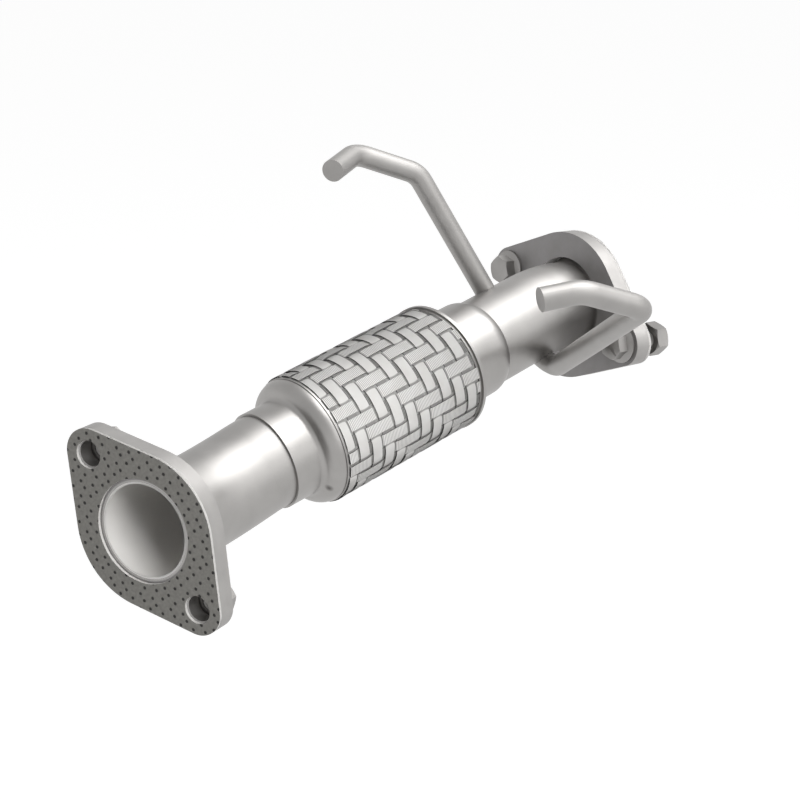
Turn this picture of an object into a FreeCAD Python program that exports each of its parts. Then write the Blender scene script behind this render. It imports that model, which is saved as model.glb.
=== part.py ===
import FreeCAD, Part
import math
import os
import Sketcher

# Exhaust front pipe with a braided flex section, two rhombic flanges with gaskets,
# two bent hanger rods and its fasteners. Millimetres, +Z up.
# Origin: centre of the inlet bore on the mating face of the inlet flange, +X into the pipe.

doc = FreeCAD.newDocument("exhaust_front_pipe")
sheet = doc.addObject("Spreadsheet::Sheet", "sizes")

# Driving dimensions: name, value, what it is.
DRIVING = [
    ("pipe_od", 50.8, "outside diameter of both pipes"),
    ("pipe_wall", 2.0, "wall of both pipes"),
    ("weld_gap", 0.05, "gap left between faces that are welded together"),
    ("slip_fit", 0.1, "radial clearance where one tube slides into another"),
    ("inlet_straight", 27.2, "straight length from the inlet face to the first bend"),
    ("inlet_bend", 113.0, "bend radius of the inlet pipe"),
    ("mid_straight", 3.0, "straight length between the two inlet bends"),
    ("mid_elev", 17.42, "rise angle of the middle run"),
    ("mid_azim", -18.35, "side angle of the middle run"),
    ("neck_bend", 120.0, "bend radius just ahead of the inlet neck"),
    ("flex_elev", 12.76, "rise angle of the flex section"),
    ("flex_azim", -19.08, "side angle of the flex section"),
    ("flex_length", 123.5, "inlet neck edge to the outlet end of the flex section"),
    ("outlet_elev", 11.44, "rise angle of the outlet pipe"),
    ("outlet_azim", -16.02, "side angle of the outlet pipe"),
    ("outlet_straight", 79.15, "straight length from the flex section to the outlet bend"),
    ("outlet_bend", 97.4, "bend radius of the outlet pipe"),
    ("end_straight", 3.15, "straight length from the outlet bend to the flare"),
    ("end_elev", -2.4, "rise angle of the outlet mating direction"),
    ("end_azim", -23.13, "side angle of the outlet mating direction"),
    ("flange_thick", 9.5, "thickness of both flanges"),
    ("hole_room", 1.65, "radial room of a bolt in its flange hole"),
    ("hole_chamfer", 0.8, "chamfer at the rim of each bolt hole"),
    ("inlet_hole_distance", 91.0, "bolt hole distance of the inlet flange"),
    ("inlet_lobe_radius", 13.0, "lobe radius of the inlet flange"),
    ("inlet_waist_radius", 39.7, "centre radius of the inlet flange outline"),
    ("inlet_roll", 48.0, "turn of the inlet bolt line about the bore"),
    ("outlet_hole_distance", 101.8, "bolt hole distance of the outlet flange"),
    ("outlet_lobe_radius", 12.9, "lobe radius of the outlet flange"),
    ("outlet_waist_radius", 43.0, "centre radius of the outlet flange outline"),
    ("outlet_roll", 15.05, "turn of the outlet bolt line about the bore"),
    ("flare_step", 2.8, "radial step from the pipe to the outlet flange bore"),
    ("flare_length", 6.4, "length of the pipe's flared end"),
    ("flare_recess", 1.6, "end of the pipe's flare behind the mating face"),
    ("gasket_thick", 1.5, "thickness of both gaskets"),
    ("gasket_bore_step", 1.1, "radial step from the pipe to the gaskets' centre hole"),
    ("gasket_hole_step", 0.45, "radial step from the flange holes to the gasket holes"),
    ("bead_height", 0.7, "height of the raised ring on the outlet gasket"),
    ("bead_gap", 0.2, "clearance of the raised ring in the flange bore"),
    ("cap_wall", 1.2, "sheet thickness of the inlet end cap"),
    ("cap_length", 25.6, "inlet end cap, neck edge to rim"),
    ("cap_fillet_radius", 3.0, "hollow radius between neck and shoulder"),
    ("cap_turn", 75.0, "slope of the shoulder against the axis"),
    ("pipe_depth", 27.0, "inlet pipe past the edge of the inlet neck"),
    ("braid_od", 72.0, "outside diameter of the braid"),
    ("braid_wall", 2.4, "thickness of the braid with its bands"),
    ("band_width", 6.2, "width of the woven bands"),
    ("band_height", 0.8, "height of a band over the wall under it"),
    ("band_dip_length", 1.3, "length over which the end of a band dips"),
    ("weave_pitch", 8.62, "distance from one hoop band to the next"),
    ("weave_rows", 28, "number of lengthwise bands, a multiple of the repeat"),
    ("weave_repeat", 4, "bands to a repeat: over two, under two"),
    ("weave_lead", 1.7, "start of the braid to the middle of its first hoop band"),
    ("weave_roll", 55.2, "turn of the first lengthwise band from the top"),
    ("ring_width", 1.4, "width of the thin ring at each end of the braid"),
    ("ring_step", 0.7, "radial step from the braid down to the thin rings"),
    ("end_gap", 0.1, "gap between pieces that follow one another along the axis"),
    ("support_wall", 1.5, "wall of the two support rings"),
    ("support_length", 12.0, "length of the two support rings"),
    ("tilt_room", 1.0, "room for the tilt of the outlet cap inside the braid"),
    ("disc_step", 0.5, "radial step from the braid up to the rim disc"),
    ("disc_thick", 2.0, "thickness of the outlet end cap's rim disc"),
    ("disc_fillet_radius", 3.0, "hollow radius between rim disc and outlet neck"),
    ("out_neck_wall", 2.3, "wall of the outlet neck"),
    ("out_neck_length", 32.0, "outlet neck, rim disc to the neck's end"),
    ("neck_round_length", 7.0, "length of the rounded end of the outlet neck"),
    ("neck_lip", 0.1, "wall left at the very end of the outlet neck"),
    ("pipe_tail", 8.0, "outlet pipe inside the flex section"),
    ("bellows_wall", 0.6, "wall of the bellows"),
    ("crest_room", 1.1, "room between bellows crests and support rings"),
    ("bellows_count", 10, "number of convolutions"),
    ("bellows_pitch", 8.0, "pitch of the convolutions"),
    ("crest_width", 2.6, "flat width of each crest"),
    ("flank_width", 1.2, "axial width of each flank"),
    ("cuff_overlap", 4.0, "bellows cuff over each pipe end"),
    ("cuff_gap", 0.55, "radial clearance of the bellows cuffs over the pipes"),
    ("liner_gap", 0.6, "radial clearance of the liner inside the pipes"),
    ("liner_wall", 0.8, "wall of the inner liner"),
    ("liner_overlap", 7.0, "liner inside each pipe end"),
    ("rod_dia", 12.0, "diameter of both hanger rods"),
    ("upper_rod_bend", 15.0, "bend radii of the upper hanger rod"),
    ("lower_rod_tip_bend", 22.0, "bend radius near the free end of the lower rod"),
    ("lower_rod_bend", 13.0, "bend radius of the lower rod's knee and foot"),
    ("rod_gap", 0.05, "gap between a rod's foot and the pipe it is welded to"),
    ("thread_dia", 10.0, "thread diameter of the bolts"),
    ("thread_gap", 0.05, "radial clearance of a nut on its bolt"),
    ("bolt_length", 30.0, "length of each bolt under its head"),
    ("bolt_tip_length", 1.0, "chamfer at the tip of each bolt"),
    ("head_disc_dia", 21.9, "diameter of the flange under each bolt head"),
    ("head_disc_edge", 1.2, "edge thickness of the flange under each bolt head"),
    ("head_cone_height", 1.6, "conical rise of that flange to the hexagon"),
    ("head_flats_width", 14.6, "width across flats of the bolt heads"),
    ("head_height", 9.0, "height of each bolt head with its flange"),
    ("nut_flats_width", 17.0, "width across flats of the nuts"),
    ("nut_height", 8.4, "height of the nuts"),
    ("corner_cut_depth", 1.0, "depth of the chamfer on hexagon corners"),
    ("nut_reach_length", 0.6, "bolt thread standing out of each nut"),
    ("seat_gap", 0.02, "gap between a fastener and the face it seats on"),
]

# Corner points of the hanger rods in the outlet pipe's own frame: along the pipe, to its
# left and upwards, from the welded foot to the free end.
ROD_CORNERS = {
    "upper": [(61.5, 9.0, 8.0), (35.5, 31.0, 97.0), (4.5, 44.5, 117.0), (-25.0, 31.0, 118.5)],
    "lower": [(70.5, 0.0, -12.5), (71.5, -21.5, -25.5), (8.0, -143.0, 59.0),
              (-24.5, -133.0, 78.5), (-43.0, -123.0, 79.5)],
}
for rod, corners in ROD_CORNERS.items():
    for number, corner in enumerate(corners, start=1):
        for way, value in zip(("along", "left", "high"), corner):
            DRIVING.append(("%s_%d_%s" % (rod, number, way), value, "corner of the %s rod" % rod))

# Worked-out dimensions: name and formula.
DERIVED = [
    ("zero", "=0"),
    ("pipe_r", "=pipe_od / 2"),
    ("pipe_in_r", "=pipe_r - pipe_wall"),
    ("first_turn", "=acos(cos(mid_elev) * cos(mid_azim))"),
    ("second_turn", "=acos(sin(mid_elev) * sin(flex_elev)"
     " + cos(mid_elev) * cos(flex_elev) * cos(mid_azim - flex_azim))"),
    ("outlet_turn", "=acos(sin(outlet_elev) * sin(end_elev)"
     " + cos(outlet_elev) * cos(end_elev) * cos(outlet_azim - end_azim))"),
    ("inlet_reach", "=inlet_bend * tan(first_turn / 2)"),
    ("neck_lead", "=neck_bend * tan(second_turn / 2)"),
    ("outlet_reach", "=outlet_bend * tan(outlet_turn / 2)"),
    ("inlet_run", "=inlet_straight + inlet_reach"),
    ("mid_run", "=inlet_reach + mid_straight + neck_lead"),
    ("outlet_run", "=outlet_straight + outlet_reach"),
    ("flare_start", "=flare_length + flare_recess"),
    ("end_run", "=outlet_reach + end_straight + flare_start"),
    ("mid_x", "=inlet_run + mid_run * cos(mid_elev) * cos(mid_azim)"),
    ("mid_y", "=mid_run * cos(mid_elev) * sin(mid_azim)"),
    ("mid_z", "=mid_run * sin(mid_elev)"),
    ("flex_dx", "=cos(flex_elev) * cos(flex_azim)"),
    ("flex_dy", "=cos(flex_elev) * sin(flex_azim)"),
    ("flex_dz", "=sin(flex_elev)"),
    ("flex_x", "=mid_x + neck_lead * flex_dx"),
    ("flex_y", "=mid_y + neck_lead * flex_dy"),
    ("flex_z", "=mid_z + neck_lead * flex_dz"),
    ("out_x", "=flex_x + flex_length * flex_dx"),
    ("out_y", "=flex_y + flex_length * flex_dy"),
    ("out_z", "=flex_z + flex_length * flex_dz"),
    ("out_dx", "=cos(outlet_elev) * cos(outlet_azim)"),
    ("out_dy", "=cos(outlet_elev) * sin(outlet_azim)"),
    ("out_dz", "=sin(outlet_elev)"),
    ("turn_x", "=out_x + outlet_run * out_dx"),
    ("turn_y", "=out_y + outlet_run * out_dy"),
    ("turn_z", "=out_z + outlet_run * out_dz"),
    ("end_dx", "=cos(end_elev) * cos(end_azim)"),
    ("end_dy", "=cos(end_elev) * sin(end_azim)"),
    ("end_dz", "=sin(end_elev)"),
    ("end_x", "=turn_x + end_run * end_dx"),
    ("end_y", "=turn_y + end_run * end_dy"),
    ("end_z", "=turn_z + end_run * end_dz"),
    ("inlet_half", "=inlet_hole_distance / 2"),
    ("outlet_half", "=outlet_hole_distance / 2"),
    ("thread_r", "=thread_dia / 2"),
    ("hole_r", "=thread_r + hole_room"),
    ("inlet_bore_r", "=pipe_r + weld_gap"),
    ("outlet_bore_r", "=pipe_r + flare_step"),
    ("flare_r", "=outlet_bore_r - weld_gap"),
    ("flare_in_r", "=flare_r - pipe_wall"),
    ("gasket_bore_r", "=pipe_r + gasket_bore_step"),
    ("gasket_hole_r", "=hole_r + gasket_hole_step"),
    ("bead_r", "=outlet_bore_r - bead_gap"),
    ("neck_in_r", "=pipe_r + slip_fit"),
    ("neck_r", "=neck_in_r + cap_wall"),
    ("braid_r", "=braid_od / 2"),
    ("braid_in_r", "=braid_r - braid_wall"),
    ("rim_r", "=braid_in_r + cap_wall"),
    ("shoulder_r", "=(rim_r - neck_r) / (1 - cos(cap_turn)) - cap_fillet_radius"),
    ("shoulder_in_r", "=shoulder_r - cap_wall"),
    ("fillet_out_r", "=cap_fillet_radius + cap_wall"),
    ("shoulder_x", "=cap_length - (cap_fillet_radius + shoulder_r) * sin(cap_turn)"),
    ("sway_x", "=shoulder_x + cap_fillet_radius * sin(cap_turn)"),
    ("sway_y", "=neck_r + cap_fillet_radius * (1 - cos(cap_turn))"),
    ("sway_in_x", "=shoulder_x + fillet_out_r * sin(cap_turn)"),
    ("sway_in_y", "=neck_r + cap_fillet_radius - fillet_out_r * cos(cap_turn)"),
    ("ring_r", "=braid_r - ring_step"),
    ("ring_x", "=cap_length + end_gap"),
    ("ring_end", "=ring_x + ring_width"),
    ("braid_x", "=ring_end + end_gap"),
    ("tilt_angle", "=abs(flex_elev - outlet_elev) + abs(flex_azim - outlet_azim)"),
    ("braid_end", "=flex_length + braid_r * sin(tilt_angle)"),
    ("weave_floor_r", "=braid_r - band_height"),
    ("weave_root_r", "=(weave_floor_r + braid_in_r) / 2"),
    ("row_angle", "=360 / weave_rows"),
    ("repeat_length", "=weave_repeat * weave_pitch"),
    ("repeats_around", "=weave_rows / weave_repeat"),
    ("weave_start", "=braid_x + weave_lead - repeat_length"),
    ("weave_length", "=braid_end - weave_start"),
    ("weave_hoops", "=ceil(weave_length / weave_pitch)"),
    ("inlet_trim_x", "=braid_x - repeat_length - weave_pitch"),
    ("inlet_trim_length", "=repeat_length + weave_pitch"),
    ("strip_top_half", "=weave_pitch - band_dip_length"),
    ("strip_top", "=sqrt(braid_r ^ 2 - (band_width / 2) ^ 2)"),
    ("hoop_half_angle", "=row_angle"),
    ("hoop_top_angle", "=row_angle - band_dip_length / braid_r * 180 / pi"),
    ("hoop_top_x", "=braid_r * sin(hoop_top_angle)"),
    ("hoop_top_y", "=braid_r * cos(hoop_top_angle)"),
    ("hoop_floor_x", "=weave_floor_r * sin(hoop_half_angle)"),
    ("hoop_floor_y", "=weave_floor_r * cos(hoop_half_angle)"),
    ("hoop_root_x", "=weave_root_r * sin(hoop_half_angle)"),
    ("hoop_root_y", "=weave_root_r * cos(hoop_half_angle)"),
    ("support_r", "=braid_in_r - slip_fit"),
    ("support_in_r", "=support_r - support_wall"),
    ("support_x", "=cap_length - end_gap"),
    ("support_end", "=support_x + support_length"),
    ("disc_x", "=-disc_thick"),
    ("out_ring_end", "=disc_x - end_gap"),
    ("out_ring_x", "=out_ring_end - ring_width"),
    ("trim_x", "=out_ring_x - end_gap"),
    ("disc_r", "=braid_r + disc_step"),
    ("out_support_r", "=braid_in_r - tilt_room"),
    ("out_support_in_r", "=out_support_r - support_wall"),
    ("out_support_x", "=disc_x - end_gap - support_length"),
    ("out_support_end", "=disc_x - end_gap"),
    ("out_neck_r", "=neck_in_r + out_neck_wall"),
    ("disc_fillet_r", "=out_neck_r + disc_fillet_radius"),
    ("neck_round_x", "=out_neck_length - neck_round_length"),
    ("neck_lip_r", "=neck_in_r + neck_lip"),
    ("neck_round_r", "=(neck_round_length ^ 2 + (out_neck_r - neck_lip_r) ^ 2)"
     " / (2 * (out_neck_r - neck_lip_r))"),
    ("cuff_in_r", "=pipe_r + cuff_gap"),
    ("cuff_r", "=cuff_in_r + bellows_wall"),
    ("crest_r", "=out_support_in_r - crest_room"),
    ("crest_in_r", "=crest_r - bellows_wall"),
    ("bellows_span", "=(bellows_count - 1) * bellows_pitch"),
    ("wave_width", "=crest_width + 2 * flank_width"),
    ("bellows_mid", "=(cap_length + flex_length) / 2"),
    ("wave_x", "=bellows_mid - bellows_span / 2 - wave_width / 2"),
    ("wave_top", "=wave_x + flank_width"),
    ("wave_top_end", "=wave_top + crest_width"),
    ("wave_end", "=wave_x + wave_width"),
    ("hollow_x", "=wave_x + bellows_wall"),
    ("hollow_top", "=wave_top + bellows_wall / 2"),
    ("hollow_top_end", "=wave_top_end - bellows_wall / 2"),
    ("hollow_end", "=wave_end - bellows_wall"),
    ("cuff_x", "=pipe_depth - cuff_overlap"),
    ("cuff_end", "=flex_length - pipe_tail + cuff_overlap"),
    ("pipe_nose", "=pipe_depth + neck_lead"),
    ("liner_r", "=pipe_in_r - liner_gap"),
    ("liner_in_r", "=liner_r - liner_wall"),
    ("liner_x", "=pipe_depth - liner_overlap"),
    ("liner_end", "=flex_length - pipe_tail + liner_overlap"),
    ("rod_r", "=rod_dia / 2"),
    ("rod_stop_r", "=pipe_r + rod_gap"),
    ("rod_stop_x", "=-pipe_tail"),
    ("thread_tip_r", "=thread_r - bolt_tip_length"),
    ("thread_tip_x", "=bolt_length - bolt_tip_length"),
    ("nut_bore_r", "=thread_r + thread_gap"),
    ("nut_flat", "=nut_flats_width / 2"),
    ("nut_bevel", "=corner_cut_depth"),
    ("nut_bevel_x", "=nut_height - corner_cut_depth"),
    ("nut_reach_r", "=nut_flat + corner_cut_depth / tan(30)"),
    ("head_disc_r", "=head_disc_dia / 2"),
    ("head_flat", "=head_flats_width / 2"),
    ("head_corner", "=head_flat / cos(30)"),
    ("head_corner_half", "=head_corner / 2"),
    ("head_cone_x", "=head_disc_edge + head_cone_height"),
    ("head_bevel_x", "=head_height - corner_cut_depth"),
    ("head_bevel_r", "=head_flat + corner_cut_depth / tan(30)"),
    ("nut_corner", "=nut_flat / cos(30)"),
    ("nut_corner_half", "=nut_corner / 2"),
    ("bolt_seat", "=-flange_thick - seat_gap"),
    ("outlet_nut_x", "=bolt_seat + bolt_length - nut_reach_length - nut_height"),
    ("inlet_nut_x", "=flange_thick + seat_gap"),
]

for row, (name, value, note) in enumerate(DRIVING, start=1):
    sheet.set("A%d" % row, name)
    sheet.set("B%d" % row, str(value))
    sheet.setAlias("B%d" % row, name)
    sheet.set("C%d" % row, note)
for row, (name, formula) in enumerate(DERIVED, start=len(DRIVING) + 3):
    sheet.set("A%d" % row, name)
    sheet.set("B%d" % row, formula)
    sheet.setAlias("B%d" % row, name)
doc.recompute()


def size(name):
    """Value of a named size, with a minus sign in front for its negative."""
    if name.startswith("-"):
        return -float(getattr(sheet, name[1:]))
    return float(getattr(sheet, name))


def cell(name):
    """Expression for a named size."""
    if name.startswith("-"):
        return "-sizes." + name[1:]
    return "sizes." + name


def frame(point, turns, shift=("zero", "zero", "zero")):
    """Placement expression: origin, yaw-pitch-roll, then a shift in the turned frame."""
    vector = "create(<<vector>>; %s; %s; %s)"
    rotation = "create(<<rotation>>; %s; %s; %s)"
    base = "create(<<placement>>; %s; %s)" % (
        vector % tuple(cell(p) for p in point), rotation % tuple(cell(t) for t in turns))
    step = "create(<<placement>>; %s; create(<<rotation>>; 0; 0; 0))" % (
        vector % tuple(cell(p) for p in shift))
    return base + " * " + step


INLET = (("zero", "zero", "zero"), ("zero", "zero", "inlet_roll"))
FLEX = (("flex_x", "flex_y", "flex_z"), ("flex_azim", "-flex_elev", "zero"))
OUTLET = (("out_x", "out_y", "out_z"), ("outlet_azim", "-outlet_elev", "zero"))
END = (("end_x", "end_y", "end_z"), ("end_azim", "-end_elev", "outlet_roll"))


def new_body(name, place):
    body = doc.addObject("PartDesign::Body", name)
    body.Label = name
    body.setExpression("Placement", frame(*place))
    return body


def new_sketch(body, name, role):
    """Sketch on one of the body's own origin planes."""
    sketch = body.newObject("Sketcher::SketchObject", name)
    plane = [item for item in body.Origin.OriginFeatures if item.Role == role][0]
    sketch.AttachmentSupport = [(plane, "")]
    sketch.MapMode = "FlatFace"
    return sketch


def bind(sketch, kind, *where):
    """Add a dimension whose last item is a size name, tied to that size."""
    name = where[-1]
    index = sketch.addConstraint(Sketcher.Constraint(kind, *where[:-1], size(name)))
    sketch.setExpression("Constraints[%d]" % index, cell(name))


def arc_between(start, end, radius, turn):
    """Arc from start to end; turn +1 runs counter-clockwise, -1 clockwise."""
    if turn < 0:
        start, end = end, start
    chord = end - start
    middle = (start + end) * 0.5
    height = math.sqrt(max(radius ** 2 - (chord.Length / 2) ** 2, 0.0))
    normal = FreeCAD.Vector(-chord.y, chord.x, 0).normalize()
    centre = middle + normal * height
    first = math.atan2(start.y - centre.y, start.x - centre.x)
    last = math.atan2(end.y - centre.y, end.x - centre.x)
    circle = Part.Circle(centre, FreeCAD.Vector(0, 0, 1), radius)
    return Part.ArcOfCircle(circle, first, last)


def outline(sketch, corners):
    """Closed outline. A corner is (x, y) or (x, y, radius, turn) for an arc that leaves it."""
    points = [FreeCAD.Vector(size(c[0]), size(c[1]), 0) for c in corners]
    ends = []
    for index, corner in enumerate(corners):
        start = points[index]
        end = points[(index + 1) % len(points)]
        if len(corner) == 2:
            edge = sketch.addGeometry(Part.LineSegment(start, end))
            ends.append((edge, 1, 2))
        else:
            edge = sketch.addGeometry(arc_between(start, end, size(corner[2]), corner[3]))
            ends.append((edge, 1, 2) if corner[3] > 0 else (edge, 2, 1))
    for index, corner in enumerate(corners):
        edge, first, last = ends[index]
        following = ends[(index + 1) % len(ends)]
        sketch.addConstraint(Sketcher.Constraint("Coincident", edge, last, following[0], following[1]))
    for index, corner in enumerate(corners):
        edge, first, last = ends[index]
        bind(sketch, "DistanceX", -1, 1, edge, first, corner[0])
        bind(sketch, "DistanceY", -1, 1, edge, first, corner[1])
        if len(corner) > 2:
            bind(sketch, "Radius", edge, corner[2])


def revolve(body, name, corners):
    """Revolution of an outline in the XZ plane about the body's X axis."""
    sketch = new_sketch(body, name + "_profile", "XZ_Plane")
    outline(sketch, corners)
    feature = body.newObject("PartDesign::Revolution", name)
    feature.Profile = sketch
    feature.ReferenceAxis = (sketch, ["H_Axis"])
    feature.Angle = 360
    return feature


def groove(body, name, corners):
    """Material turned away about the body's X axis."""
    sketch = new_sketch(body, name + "_profile", "XZ_Plane")
    outline(sketch, corners)
    doc.recompute()
    before = body.Shape.Volume
    feature = body.newObject("PartDesign::Groove", name)
    feature.Profile = sketch
    feature.ReferenceAxis = (sketch, ["H_Axis"])
    feature.Angle = 360
    doc.recompute()
    if body.Shape.Volume >= before:
        raise RuntimeError("%s takes nothing away" % name)
    return feature


def circle_at(sketch, x, y, radius):
    edge = sketch.addGeometry(Part.Circle(
        FreeCAD.Vector(size(x), size(y), 0), FreeCAD.Vector(0, 0, 1), size(radius)))
    bind(sketch, "DistanceX", -1, 1, edge, 3, x)
    bind(sketch, "DistanceY", -1, 1, edge, 3, y)
    bind(sketch, "Radius", edge, radius)


def rhombic_outline(sketch, half, lobe, waist):
    """Two lobes and a round waist joined by their common tangents."""
    a, small, large = size(half), size(lobe), size(waist)
    tilt = math.acos((large - small) / a)
    centre = Part.Circle(FreeCAD.Vector(0, 0, 0), FreeCAD.Vector(0, 0, 1), large)
    right = Part.Circle(FreeCAD.Vector(a, 0, 0), FreeCAD.Vector(0, 0, 1), small)
    left = Part.Circle(FreeCAD.Vector(-a, 0, 0), FreeCAD.Vector(0, 0, 1), small)

    def touch(sign_x, sign_y):
        direction = FreeCAD.Vector(sign_x * math.cos(tilt), sign_y * math.sin(tilt), 0)
        return direction * large, direction * small + FreeCAD.Vector(sign_x * a, 0, 0)

    arc_right = sketch.addGeometry(Part.ArcOfCircle(right, -tilt, tilt))
    line_1 = sketch.addGeometry(Part.LineSegment(*reversed(touch(1, 1))))
    arc_top = sketch.addGeometry(Part.ArcOfCircle(centre, tilt, math.pi - tilt))
    line_2 = sketch.addGeometry(Part.LineSegment(*touch(-1, 1)))
    arc_left = sketch.addGeometry(Part.ArcOfCircle(left, math.pi - tilt, math.pi + tilt))
    line_3 = sketch.addGeometry(Part.LineSegment(*reversed(touch(-1, -1))))
    arc_low = sketch.addGeometry(Part.ArcOfCircle(centre, math.pi + tilt, 2 * math.pi - tilt))
    line_4 = sketch.addGeometry(Part.LineSegment(*touch(1, -1)))
    chain = [arc_right, line_1, arc_top, line_2, arc_left, line_3, arc_low, line_4]
    for index, edge in enumerate(chain):
        following = chain[(index + 1) % len(chain)]
        sketch.addConstraint(Sketcher.Constraint("Tangent", edge, 2, following, 1))
    for arc, x in ((arc_right, half), (arc_left, "-" + half)):
        bind(sketch, "DistanceX", -1, 1, arc, 3, x)
        bind(sketch, "DistanceY", -1, 1, arc, 3, "zero")
        bind(sketch, "Radius", arc, lobe)
    for arc in (arc_top, arc_low):
        sketch.addConstraint(Sketcher.Constraint("Coincident", arc, 3, -1, 1))
        bind(sketch, "Radius", arc, waist)


def plate(body, name, half, lobe, waist, bore, hole, thickness, outward):
    """Rhombic plate with a centre bore and two bolt holes; outward pads along +X."""
    sketch = new_sketch(body, name + "_outline", "YZ_Plane")
    rhombic_outline(sketch, half, lobe, waist)
    circle_at(sketch, "zero", "zero", bore)
    circle_at(sketch, half, "zero", hole)
    circle_at(sketch, "-" + half, "zero", hole)
    pad = body.newObject("PartDesign::Pad", name)
    pad.Profile = sketch
    pad.setExpression("Length", cell(thickness))
    pad.Reversed = not outward
    return pad


def chamfer_rims(body, base, radius, chamfer):
    """Chamfer every circular edge of the given radius."""
    doc.recompute()
    rims = []
    for number, edge in enumerate(base.Shape.Edges, start=1):
        if isinstance(edge.Curve, Part.Circle) and abs(edge.Curve.Radius - size(radius)) < 1e-4:
            rims.append("Edge%d" % number)
    feature = body.newObject("PartDesign::Chamfer", body.Name + "_rims")
    feature.Base = (base, rims)
    feature.setExpression("Size", cell(chamfer))
    return feature


def inlet_flange():
    body = new_body("inlet_flange", INLET)
    pad = plate(body, "inlet_plate", "inlet_half", "inlet_lobe_radius", "inlet_waist_radius",
                "inlet_bore_r", "hole_r", "flange_thick", True)
    chamfer_rims(body, pad, "hole_r", "hole_chamfer")
    return body


def outlet_flange():
    body = new_body("outlet_flange", END)
    pad = plate(body, "outlet_plate", "outlet_half", "outlet_lobe_radius", "outlet_waist_radius",
                "outlet_bore_r", "hole_r", "flange_thick", False)
    chamfer_rims(body, pad, "hole_r", "hole_chamfer")
    return body


def inlet_gasket():
    body = new_body("inlet_gasket", INLET)
    plate(body, "inlet_sheet", "inlet_half", "inlet_lobe_radius", "inlet_waist_radius",
          "gasket_bore_r", "gasket_hole_r", "gasket_thick", False)
    return body


def outlet_gasket():
    body = new_body("outlet_gasket", END)
    plate(body, "outlet_sheet", "outlet_half", "outlet_lobe_radius", "outlet_waist_radius",
          "gasket_bore_r", "gasket_hole_r", "gasket_thick", True)
    sketch = new_sketch(body, "outlet_bead_rings", "YZ_Plane")
    circle_at(sketch, "zero", "zero", "gasket_bore_r")
    circle_at(sketch, "zero", "zero", "bead_r")
    bead = body.newObject("PartDesign::Pad", "outlet_bead")
    bead.Profile = sketch
    bead.setExpression("Length", cell("bead_height"))
    bead.Reversed = True
    return body


def vector(x, y, z):
    return FreeCAD.Vector(size(x), size(y), size(z))


def bent_route(points, radii):
    """Straight runs joined by tangent arcs, one radius for each inner point."""
    edges = []
    start = points[0]
    for index in range(1, len(points) - 1):
        corner = points[index]
        back = (points[index - 1] - corner).normalize()
        on = (points[index + 1] - corner).normalize()
        half_turn = (math.pi - back.getAngle(on)) / 2
        reach = radii[index - 1] * math.tan(half_turn)
        arc_start = corner + back * reach
        arc_end = corner + on * reach
        bisector = (back + on).normalize()
        bulge = corner + bisector * (radii[index - 1] * (1 / math.cos(half_turn) - 1))
        edges.append(Part.LineSegment(start, arc_start).toShape())
        edges.append(Part.Arc(arc_start, bulge, arc_end).toShape())
        start = arc_end
    edges.append(Part.LineSegment(start, points[-1]).toShape())
    return Part.Wire(edges)


def sweep_along(name, points, radii, radius):
    """Round bar of a named radius along a bent route."""
    spine = doc.addObject("Part::Feature", name + "_route")
    spine.Shape = bent_route(points, radii)
    ring = doc.addObject("Part::Circle", name + "_ring")
    ring.setExpression("Radius", cell(radius))
    direction = points[1] - points[0]
    ring.Placement = FreeCAD.Placement(
        points[0], FreeCAD.Rotation(FreeCAD.Vector(0, 0, 1), direction))
    sweep = doc.addObject("Part::Sweep", name + "_bar")
    sweep.Sections = [ring]
    sweep.Spine = (spine, ["Edge%d" % n for n in range(1, len(spine.Shape.Edges) + 1)])
    sweep.Solid = True
    sweep.Frenet = False
    return sweep


def cut(name, base, tool):
    feature = doc.addObject("Part::Cut", name)
    feature.Base = base
    feature.Tool = tool
    feature.Label = name
    return feature


def fuse(name, items):
    feature = doc.addObject("Part::MultiFuse", name)
    feature.Shapes = items
    return feature


def inlet_pipe():
    """Tube from the inlet face, through both bends, into the neck."""
    start = vector("zero", "zero", "zero")
    first = vector("inlet_run", "zero", "zero")
    second = vector("mid_x", "mid_y", "mid_z")
    along = vector("flex_dx", "flex_dy", "flex_dz")
    points = [start, first, second, second + along * size("pipe_nose")]
    radii = [size("inlet_bend"), size("neck_bend")]
    outer = sweep_along("inlet_outer", points, radii, "pipe_r")
    inner = sweep_along("inlet_inner", points, radii, "pipe_in_r")
    return cut("inlet_pipe", outer, inner)


def flare(name, small, large):
    """Cone over the flared end of the outlet pipe."""
    cone = doc.addObject("Part::Cone", name)
    cone.setExpression("Radius1", cell(small))
    cone.setExpression("Radius2", cell(large))
    cone.setExpression("Height", cell("flare_length"))
    place = frame(*END)
    tail = " * create(<<placement>>; create(<<vector>>; -sizes.flare_start; 0; 0);" \
           " create(<<rotation>>; 0; 90; 0))"
    cone.setExpression("Placement", place + tail)
    return cone


def outlet_pipe():
    """Tube from inside the flex section, through its bend, to a flared end in the flange."""
    base = vector("out_x", "out_y", "out_z")
    along = vector("out_dx", "out_dy", "out_dz")
    corner = vector("turn_x", "turn_y", "turn_z")
    leave = vector("end_dx", "end_dy", "end_dz")
    mouth = vector("end_x", "end_y", "end_z") - leave * size("flare_start")
    points = [base - along * size("pipe_tail"), corner, mouth]
    radii = [size("outlet_bend")]
    outer = sweep_along("outlet_outer", points, radii, "pipe_r")
    inner = sweep_along("outlet_inner", points, radii, "pipe_in_r")
    body = fuse("outlet_body", [outer, flare("outlet_flare", "pipe_r", "flare_r")])
    hollow = fuse("outlet_hollow", [inner, flare("outlet_flare_inside", "pipe_in_r", "flare_in_r")])
    return cut("outlet_pipe", body, hollow)


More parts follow.
